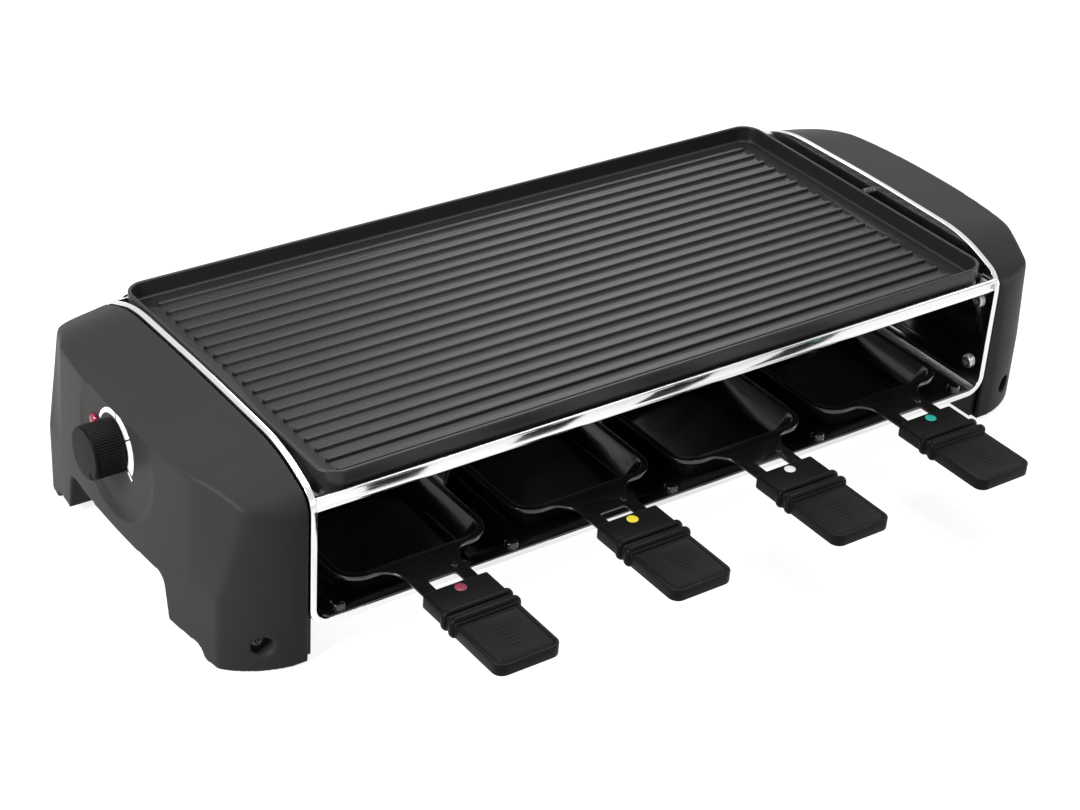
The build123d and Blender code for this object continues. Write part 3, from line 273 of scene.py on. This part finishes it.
# steels: what they share, then one row for each slot; a low number in "along" draws the streaks out that way
metalAll = {
    "cloud": (11.0, 3.0), "cloudRough": (-0.02, 0.04), "streakRough": (-0.04, 0.06), "streakStrength": 0.5,
    "edge": 0.0005, "worn": 0.25, "wornTo": (0.8, 0.8, 0.8),
}
metal = {
    "polished_steel": dict(
        base=(0.74, 0.74, 0.745), rough=0.11, along=(0.04, 1, 1), lines=2600.0, depth=0.00001, blotch=0.05),
    "bare_steel": dict(
        base=(0.50, 0.50, 0.50), rough=0.28, along=(1, 1, 0.3), lines=900.0, depth=0.00003, blotch=0.12),
    "element_steel": dict(
        base=(0.10, 0.095, 0.09), rough=0.45, along=(0.3, 1, 1), lines=700.0, depth=0.00006, blotch=0.3),
}


def brushedMetal(name, base, rough, along, lines, depth, blotch):
    finish = Finish(name)
    cloud = finish.noise(*metalAll["cloud"])
    streaks = finish.noise(lines, stretch=along)
    tint = finish.toned(cloud, base, (1 - blotch, 1 + blotch))
    edge = finish.edges(metalAll["edge"])
    brushed = finish.around(streaks, rough, metalAll["streakRough"])
    finish.set(
        Base_Color=finish.mix(edge * metalAll["worn"], tint, metalAll["wornTo"]),
        Metallic=1.0,
        Roughness=brushed + finish.around(cloud, 0.0, metalAll["cloudRough"]),
        Normal=finish.bump(streaks, depth, metalAll["streakStrength"]),
    )
    return finish.material


# small smooth pieces: what they share, then one row for each slot
glossAll = {
    "cloud": (180.0, 3.0), "tones": (0.9, 1.08), "grain": 1600.0, "depth": 0.00003,
    "smoother": 0.04, "rougher": 0.06, "leastRough": 0.02, "bending": 1.49,
}
gloss = {
    "ceramic": dict(base=(0.76, 0.74, 0.68), rough=0.25, clear=0.0),
    "dial_white": dict(base=(0.72, 0.72, 0.71), rough=0.34, clear=0.0),
    "lens_red": dict(base=(0.32, 0.008, 0.05), rough=0.08, clear=0.35),
    "lamp_glass": dict(base=(0.85, 0.60, 0.50), rough=0.05, clear=0.7),
    "wire_cover": dict(base=(0.70, 0.68, 0.62), rough=0.7, clear=0.0),
    "dot_red": dict(base=(0.19, 0.022, 0.045), rough=0.3, clear=0.0),
    "dot_yellow": dict(base=(0.66, 0.54, 0.03), rough=0.3, clear=0.0),
    "dot_white": dict(base=(0.62, 0.64, 0.65), rough=0.3, clear=0.0),
    "dot_teal": dict(base=(0.01, 0.36, 0.30), rough=0.3, clear=0.0),
    "dot_blue": dict(base=(0.02, 0.10, 0.50), rough=0.3, clear=0.0),
    "dot_orange": dict(base=(0.62, 0.17, 0.01), rough=0.3, clear=0.0),
    "dot_pink": dict(base=(0.58, 0.14, 0.28), rough=0.3, clear=0.0),
    "dot_green": dict(base=(0.05, 0.36, 0.05), rough=0.3, clear=0.0),
}


def glossyPiece(name, base, rough, clear):
    finish = Finish(name)
    cloud = finish.noise(*glossAll["cloud"])
    fine = finish.noise(glossAll["grain"])
    low = max(glossAll["leastRough"], rough - glossAll["smoother"])
    finish.set(
        Base_Color=finish.toned(cloud, base, glossAll["tones"]),
        Roughness=finish.spread(fine, *noiseBand, low, rough + glossAll["rougher"]),
        Normal=finish.bump(fine, glossAll["depth"]),
        Transmission_Weight=clear,
        IOR=glossAll["bending"],
    )
    return finish.material


finishes = {slotName: mouldedPlastic(slotName, **look) for slotName, look in plastic.items()}
finishes["black_enamel"] = glossyEnamel("black_enamel")
finishes["coated_aluminium"] = nonStickCoating("coated_aluminium")
for slotName, look in metal.items():
    finishes[slotName] = brushedMetal(slotName, **look)
for slotName, look in gloss.items():
    finishes[slotName] = glossyPiece(slotName, **look)
print("finishes made:", len(finishes))


# CAD meshes: gap that is merged in metres, angles in degrees
meshing = {"mergeGap": 0.000004, "flatAngle": 0.6, "smoothAngle": 32}

# how the edges of each CAD node are softened: width in metres, sharpest angle left alone, segments
softEdges = {
    "steel_frame": dict(width=0.0012, angle=50, segments=3),
    "grill_plate": dict(width=0.0002, angle=40, segments=2),
    "shelf_tray": dict(width=0.0003, angle=40, segments=2),
    "front_rail": dict(width=0.0003, angle=40, segments=2),
    "rear_rail": dict(width=0.0003, angle=40, segments=2),
    "knob": dict(width=0.00012, angle=50, segments=1),
}
plainEdges = dict(width=0.0002, angle=40, segments=2)


def pickOnly(obj):
    bpy.ops.object.select_all(action="DESELECT")
    obj.select_set(True)
    bpy.context.view_layer.objects.active = obj


def mergedCopy(nodeName):
    # the node's triangles as one closed mesh of its own
    obj = bpy.data.objects.new(nodeName + "_dressed", nodes[nodeName].data.copy())
    bpy.context.scene.collection.objects.link(obj)
    pickOnly(obj)
    bpy.ops.object.mode_set(mode="EDIT")
    bpy.ops.mesh.select_all(action="SELECT")
    bpy.ops.mesh.remove_doubles(threshold=meshing["mergeGap"])
    bpy.ops.object.mode_set(mode="OBJECT")
    return obj


def dress(obj, nodeName):
    obj.data.materials.clear()
    obj.data.materials.append(finishes[nodeSlots[nodeName]])
    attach(obj, nodes[nodeName]["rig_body"])
    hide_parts(nodeName)


def bevelAll(obj, width, segments, angle):
    pickOnly(obj)
    bevel = obj.modifiers.new("edge", "BEVEL")
    bevel.width = width
    bevel.segments = segments
    bevel.limit_method = "ANGLE"
    bevel.angle_limit = math.radians(angle)
    bpy.ops.object.modifier_apply(modifier="edge")


def softened(nodeName, width, angle, segments):
    obj = mergedCopy(nodeName)
    bpy.ops.object.mode_set(mode="EDIT")
    bpy.ops.mesh.select_all(action="SELECT")
    bpy.ops.mesh.dissolve_limited(angle_limit=math.radians(meshing["flatAngle"]))
    bpy.ops.object.mode_set(mode="OBJECT")
    bevelAll(obj, width, segments, angle)
    bpy.ops.object.shade_smooth_by_angle(angle=math.radians(meshing["smoothAngle"]))
    dress(obj, nodeName)
    return obj


# reaches are measured from the plate's middle; across a fade the smoothing grows from its least to its full
# share; a keep is the radius round a hole or the dial that stays sharp
housing = {
    "voxel": 0.00115, "grow": 0.0008, "plateMiddle": 0.00785,
    "wallReach": 0.2393, "wallFade": (0.003, 0.013), "hemFade": 0.003, "hemShare": 0.25,
    "footFade": (0.004, 0.03), "capFade": (0.06, 0.09), "lowShare": 0.10,
    "cornerFade": (0.05, 0.098), "middleShare": 0.06,
    "screwReach": 0.2643, "screwHeight": 0.0167, "screwKeep": 0.0085, "screwFade": 0.006,
    "knobHeight": 0.0865, "dialKeep": 0.0215, "dialFade": 0.006,
    "lensPlace": (0.0246, 0.0887), "lensKeep": 0.0055, "lensFade": 0.004,
    "smoothing": 0.5, "lightTurns": 8, "creaseTurns": 50,
}


def ease(value, low, high):
    share = min(1.0, max(0.0, (value - low) / (high - low)))
    return share * share * (3 - 2 * share)


def easeFrom(least, value, low, high):
    return least + (1 - least) * ease(value, low, high)


def wallGap(co):
    return abs(co.x - housing["plateMiddle"]) - housing["wallReach"]


def creaseShare(co, controlEnd):
    # 1 where the moulding's creases are broad, 0 where the wall meets the hem and round holes
    reach = abs(co.x - housing["plateMiddle"])
    share = ease(wallGap(co), *housing["wallFade"])
    share *= ease(co.z, *housing["footFade"])
    share *= easeFrom(housing["lowShare"], co.z, *housing["capFade"])
    share *= easeFrom(housing["middleShare"], abs(co.y), *housing["cornerFade"])
    screwGap = math.hypot(reach - housing["screwReach"], co.z - housing["screwHeight"]) - housing["screwKeep"]
    share *= ease(screwGap, 0.0, housing["screwFade"])
    if controlEnd:
        dialGap = math.hypot(co.y, co.z - housing["knobHeight"]) - housing["dialKeep"]
        share *= ease(dialGap, 0.0, housing["dialFade"])
        lensSide, lensHeight = housing["lensPlace"]
        lensGap = math.hypot(abs(co.y) - lensSide, co.z - lensHeight) - housing["lensKeep"]
        share *= ease(lensGap, 0.0, housing["lensFade"])
    return share


def roundedHousing(nodeName):
    # moulded shell with flowing creases, meshed evenly so that they can be smoothed
    obj = mergedCopy(nodeName)
    remesh = obj.modifiers.new("evenMesh", "REMESH")
    remesh.mode = "VOXEL"
    remesh.voxel_size = housing["voxel"]
    bpy.ops.object.modifier_apply(modifier="evenMesh")
    grown = obj.modifiers.new("grown", "DISPLACE")  # from outside, the points land on the sharp edges
    grown.strength = housing["grow"]
    grown.mid_level = 0
    bpy.ops.object.modifier_apply(modifier="grown")
    wrap = obj.modifiers.new("backOnShape", "SHRINKWRAP")
    wrap.target = nodes[nodeName]
    bpy.ops.object.modifier_apply(modifier="backOnShape")
    creases = obj.vertex_groups.new(name="creases")
    rest = obj.vertex_groups.new(name="rest")
    for point in obj.data.vertices:
        creases.add([point.index], creaseShare(point.co, nodeName == "left_housing"), "REPLACE")
        restShare = easeFrom(housing["hemShare"], wallGap(point.co), 0.0, housing["hemFade"])
        rest.add([point.index], restShare, "REPLACE")
    for group, turns in (("rest", housing["lightTurns"]), ("creases", housing["creaseTurns"])):
        smooth = obj.modifiers.new(group, "SMOOTH")
        smooth.factor = housing["smoothing"]
        smooth.iterations = turns
        smooth.vertex_group = group
        bpy.ops.object.modifier_apply(modifier=group)
    bpy.ops.object.shade_smooth()
    dress(obj, nodeName)
    return obj


for nodeName in ("left_housing", "right_housing"):
    piece = roundedHousing(nodeName)
    print("rounded", nodeName, len(piece.data.polygons))


def addBox(name, low, high):
    bpy.ops.object.select_all(action="DESELECT")
    middle = [(a + b) / 2 for a, b in zip(low, high)]
    bpy.ops.mesh.primitive_cube_add(size=1, location=middle)
    obj = bpy.context.active_object
    obj.name = name
    obj.scale = [b - a for a, b in zip(low, high)]
    bpy.ops.object.transform_apply(location=True, rotation=True, scale=True)
    return obj


def bevelPicked(obj, test, offset, segments):
    # rounds the edges whose two ends pass the test
    pickOnly(obj)
    bpy.ops.object.mode_set(mode="EDIT")
    bpy.ops.mesh.select_mode(type="EDGE")
    bpy.ops.mesh.select_all(action="DESELECT")
    bpy.ops.object.mode_set(mode="OBJECT")
    points = obj.data.vertices
    for edge in obj.data.edges:
        edge.select = test(points[edge.vertices[0]].co, points[edge.vertices[1]].co)
    bpy.ops.object.mode_set(mode="EDIT")
    bpy.ops.mesh.bevel(offset=offset, segments=segments, affect="EDGES")
    bpy.ops.object.mode_set(mode="OBJECT")


def joined(name, pieces, smoothAngle):
    bpy.ops.object.select_all(action="DESELECT")
    for piece in pieces:
        piece.select_set(True)
    bpy.context.view_layer.objects.active = pieces[0]
    bpy.ops.object.join()
    obj = bpy.context.active_object
    obj.name = name
    bpy.ops.object.shade_smooth_by_angle(angle=math.radians(smoothAngle))
    return obj


# handle seen from above, its inner end at y 0 and its outer end towards -y
# rounds are width, segments and the sharpest angle left alone, corners are width and segments
grip = {
    "halfWidth": 0.020, "bottom": 0.0378, "top": 0.0470, "blockEnd": -0.0315, "blockRound": (0.0014, 4, 30),
    "ribHalf": 0.0219, "ribLow": 0.0364, "ribHigh": 0.0492, "ribDepth": 0.0042, "ribPlaces": (-0.0190, -0.0262),
    "ribCorner": (0.0044, 6), "ribRound": (0.0018, 5, 60),
    "paddleHalf": 0.0198, "paddleLow": 0.0382, "paddleHigh": 0.0452, "paddleStart": -0.0300,
    "paddleEnd": -0.0700, "paddleCorner": (0.0060, 8), "paddleRound": (0.0009, 3, 25),
    "endReach": 0.001, "upward": 0.9,
    "border": 0.0019, "sink": 0.0007, "slope": 0.0050, "slopeSink": 0.0005,
    "lines": 6, "lineStart": -0.0415, "linePitch": 0.0029, "longLine": 0.0100, "shortLine": 0.0050,
    "lineHigh": 0.00045, "lineWide": 1.3, "lineSegments": 12, "lineRings": 8, "smoothAngle": 35,
}


def modelBlock():
    half = grip["halfWidth"]
    block = addBox("block", (-half, grip["blockEnd"], grip["bottom"]), (half, 0, grip["top"]))
    bevelAll(block, *grip["blockRound"])
    return block


def modelRib(start):
    half = grip["ribHalf"]
    rib = addBox("rib", (-half, start - grip["ribDepth"], grip["ribLow"]), (half, start, grip["ribHigh"]))
    bevelPicked(rib, lambda a, b: a.x == b.x and a.z == b.z, *grip["ribCorner"])
    bevelAll(rib, *grip["ribRound"])
    return rib


def modelPaddle():
    # its top has a flat border round a shallow hollow
    half, end = grip["paddleHalf"], grip["paddleEnd"]
    paddle = addBox("paddle", (-half, end, grip["paddleLow"]), (half, grip["paddleStart"], grip["paddleHigh"]))
    outer = end + grip["endReach"]
    bevelPicked(paddle, lambda a, b: a.x == b.x and a.y == b.y and a.y < outer, *grip["paddleCorner"])
    bpy.ops.object.mode_set(mode="EDIT")
    bpy.ops.mesh.select_mode(type="FACE")
    bpy.ops.mesh.select_all(action="DESELECT")
    bpy.ops.object.mode_set(mode="OBJECT")
    for face in paddle.data.polygons:
        face.select = face.normal.z > grip["upward"]
    bpy.ops.object.mode_set(mode="EDIT")
    bpy.ops.mesh.inset(thickness=grip["border"], depth=0)
    bpy.ops.mesh.inset(thickness=grip["sink"], depth=-grip["sink"])
    bpy.ops.mesh.inset(thickness=grip["slope"], depth=-grip["slopeSink"])
    bpy.ops.object.mode_set(mode="OBJECT")
    bevelAll(paddle, *grip["paddleRound"])
    return paddle


def modelLine(number):
    # grip lines get shorter towards the paddle's end
    share = number / (grip["lines"] - 1)
    reach = grip["longLine"] + share * (grip["shortLine"] - grip["longLine"])
    forward = grip["lineStart"] - number * grip["linePitch"]
    floor = grip["paddleHigh"] - grip["sink"] - grip["slopeSink"]
    bpy.ops.mesh.primitive_uv_sphere_add(
        segments=grip["lineSegments"], ring_count=grip["lineRings"], radius=1, location=(0, forward, floor))
    line = bpy.context.active_object
    line.scale = (reach, grip["lineHigh"] * grip["lineWide"], grip["lineHigh"])
    bpy.ops.object.transform_apply(location=True, rotation=True, scale=True)
    return line


def modelHandle():
    pieces = [modelBlock()]
    pieces += [modelRib(start) for start in grip["ribPlaces"]]
    pieces.append(modelPaddle())
    pieces += [modelLine(number) for number in range(grip["lines"])]
    return joined("panHandle", pieces, grip["smoothAngle"])


def placeHandle(model, nodeName):
    low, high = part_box(nodeName)
    atFront = nodeName.startswith("front")
    obj = bpy.data.objects.new(nodeName + "_dressed", model.data.copy())
    bpy.context.scene.collection.objects.link(obj)
    pickOnly(obj)
    obj.rotation_euler.z = 0 if atFront else math.pi
    obj.location = ((low[0] + high[0]) / 2, high[1] if atFront else low[1], 0)
    bpy.ops.object.transform_apply(location=True, rotation=True, scale=True)
    dress(obj, nodeName)


handleModel = modelHandle()
handleNodes = sorted(name for name in nodes if "_handle_" in name)
for nodeName in handleNodes:
    placeHandle(handleModel, nodeName)
bpy.data.objects.remove(handleModel)
print("handles placed:", len(handleNodes))

for nodeName in sorted(nodes):
    if "_housing" in nodeName or nodeName in handleNodes:
        continue
    piece = softened(nodeName, **softEdges.get(nodeName, plainEdges))
    print("softened", nodeName, len(piece.data.polygons))


studio = {
    "floorSize": 12.0, "floorTone": 0.35, "floorRough": 0.9, "floorLift": 0.84,
    "skyForLight": 0.32, "skySeen": 1.0,
}


def rayIsSeen(graph):
    # camera, mirror and glass rays see the backdrop, all others get the plain light
    rays = graph.add("ShaderNodeLightPath").outputs
    camera, mirror, glass = [
        Wire(graph, rays[name]) for name in ("Is Camera Ray", "Is Glossy Ray", "Is Transmission Ray")]
    seen = camera.sum("MAXIMUM", camera, mirror)
    return seen.sum("MAXIMUM", seen, glass)


def makeWorld():
    world = bpy.data.worlds.new("studioWhite")
    bpy.context.scene.world = world
    sky = Graph(world, "ShaderNodeOutputWorld")
    strength = rayIsSeen(sky) * (studio["skySeen"] - studio["skyForLight"]) + studio["skyForLight"]
    sky.show(sky.node("ShaderNodeBackground", {"Color": (1, 1, 1, 1), "Strength": strength}))


def makeFloor():
    bpy.ops.object.select_all(action="DESELECT")
    bpy.ops.mesh.primitive_plane_add(size=studio["floorSize"])
    floor = bpy.context.active_object
    floor.name = "tableFloor"
    finish = Finish("floorWhite")
    tone = studio["floorTone"]
    finish.set(Base_Color=(tone, tone, tone, 1), Roughness=studio["floorRough"], Specular_IOR_Level=0.0)
    lift = rayIsSeen(finish) * studio["floorLift"]
    glow = finish.node("ShaderNodeEmission", {"Color": (1, 1, 1, 1), "Strength": lift})
    lit = Wire(finish, finish.shader.outputs[0])
    finish.show(finish.node("ShaderNodeAddShader", {0: lit, 1: glow}))
    floor.data.materials.append(finish.material)


lamps = {
    "softboxBack": dict(place=(0.95, 1.15, 0.95), aim=(0.12, 0, 0.1), size=(0.6, 0.5), power=3.4),
    "softboxAbove": dict(place=(0.35, 0.2, 1.25), aim=(0.15, 0, 0.1), size=(0.9, 0.7), power=12.0),
    "softboxLeft": dict(place=(-0.76, -0.14, 0.46), aim=(-0.28, -0.08, 0.05), size=(0.3, 0.25), power=7.6),
    "softboxRight": dict(place=(0.95, -0.50, 0.06), aim=(0.3, -0.1, 0.03), size=(0.3, 0.2), power=2.6),
    "fillFront": dict(place=(0.4, -1.5, 0.5), aim=(0.1, 0, 0.04), size=(0.9, 0.35), power=2.4),
}


def makeLamp(name, place, aim, size, power):
    light = bpy.data.lights.new(name, "AREA")
    light.shape = "RECTANGLE"
    light.size, light.size_y = size
    light.energy = power
    obj = bpy.data.objects.new(name, light)
    bpy.context.scene.collection.objects.link(obj)
    obj.location = place
    obj.rotation_euler = (Vector(aim) - Vector(place)).to_track_quat("-Z", "Y").to_euler()


# fitted to the plate's corners, the legs' feet and the front pans; turn in degrees, lens and sensor in mm
cameraView = {
    "place": (-0.7419, -0.9785, 0.7774), "turn": (58.420, -3.258, -34.976),
    "lens": 80.14, "sensor": 36.0, "nearest": 0.05,
}


def makeCamera():
    data = bpy.data.cameras.new("photoCamera")
    data.lens = cameraView["lens"]
    data.sensor_width = cameraView["sensor"]
    data.clip_start = cameraView["nearest"]
    camera = bpy.data.objects.new("photoCamera", data)
    bpy.context.scene.collection.objects.link(camera)
    camera.location = cameraView["place"]
    camera.rotation_euler = [math.radians(a) for a in cameraView["turn"]]
    bpy.context.scene.camera = camera


makeWorld()
makeFloor()
for name, lamp in lamps.items():
    makeLamp(name, **lamp)
makeCamera()
bpy.context.scene.view_settings.view_transform = "Standard"
print("studio ready")
